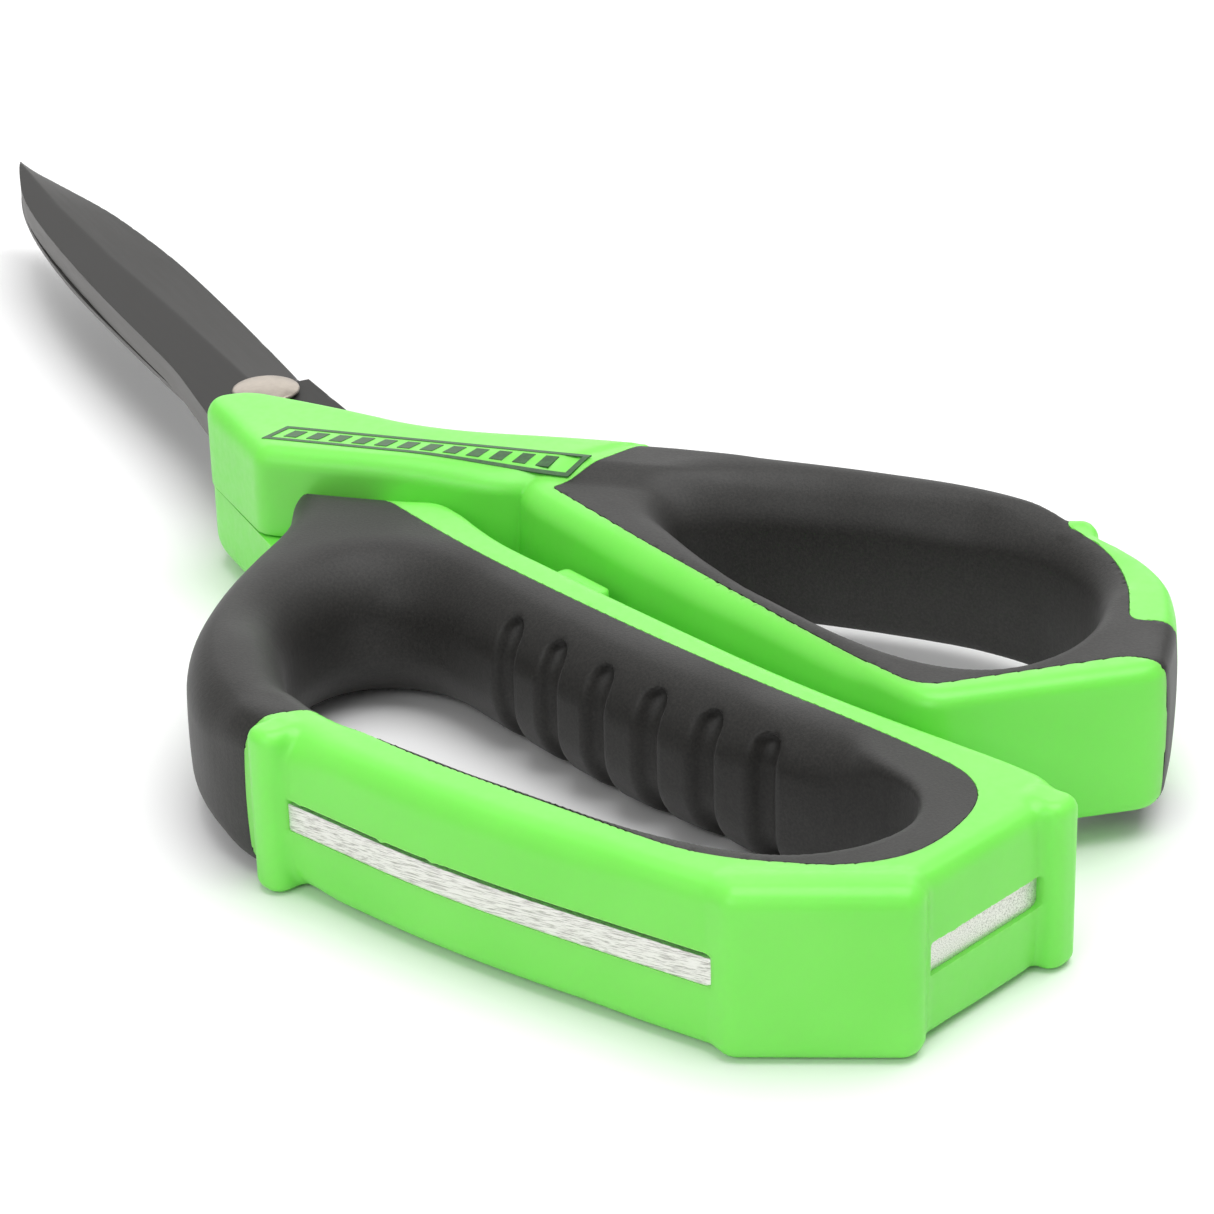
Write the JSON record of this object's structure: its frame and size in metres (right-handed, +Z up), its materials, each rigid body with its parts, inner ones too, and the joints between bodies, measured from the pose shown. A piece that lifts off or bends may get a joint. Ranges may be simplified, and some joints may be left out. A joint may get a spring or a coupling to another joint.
{
  "type": "garden shears",
  "caption": "Heavy-duty garden shears: two long steel blades on a pivot bolt, moulded bow handles with soft grips; the upper half swings open.",
  "frame": {"origin": "under the middle of the closed shears, on the surface they lie on", "axes": "+Y from the handles to the blades' tips, +X to the side of the small bow, +Z up, away from the surface"},
  "size_m": [0.1026, 0.259, 0.022],
  "materials": {
    "blade_steel": "satin dark coating on steel plate, bare and brushed along the tang's outer edge",
    "pivot_steel": "smooth warm silver",
    "lime_plastic": "satin moulded plastic, slightly translucent",
    "soft_grip": "matt soft-touch rubber with a fine speckle"
  },
  "bodies": {
    "lower_half": {"lower_blade": "blade_steel", "lower_handle_core": "lime_plastic", "lower_handle_grip": "soft_grip", "pivot_bolt": "pivot_steel", "spring_washer": "pivot_steel", "pivot_nut": "pivot_steel"},
    "upper_half": {"upper_blade": "blade_steel", "upper_handle_core": "lime_plastic", "upper_handle_grip": "soft_grip"}
  },
  "joints": [
    {"name": "pivot", "type": "hinge", "parent": "lower_half", "child": "upper_half", "pos_m": [-0.01298, 0.02552, 0.011], "axis": [0, 0, 1], "range_deg": [0, 45]}
  ]
}
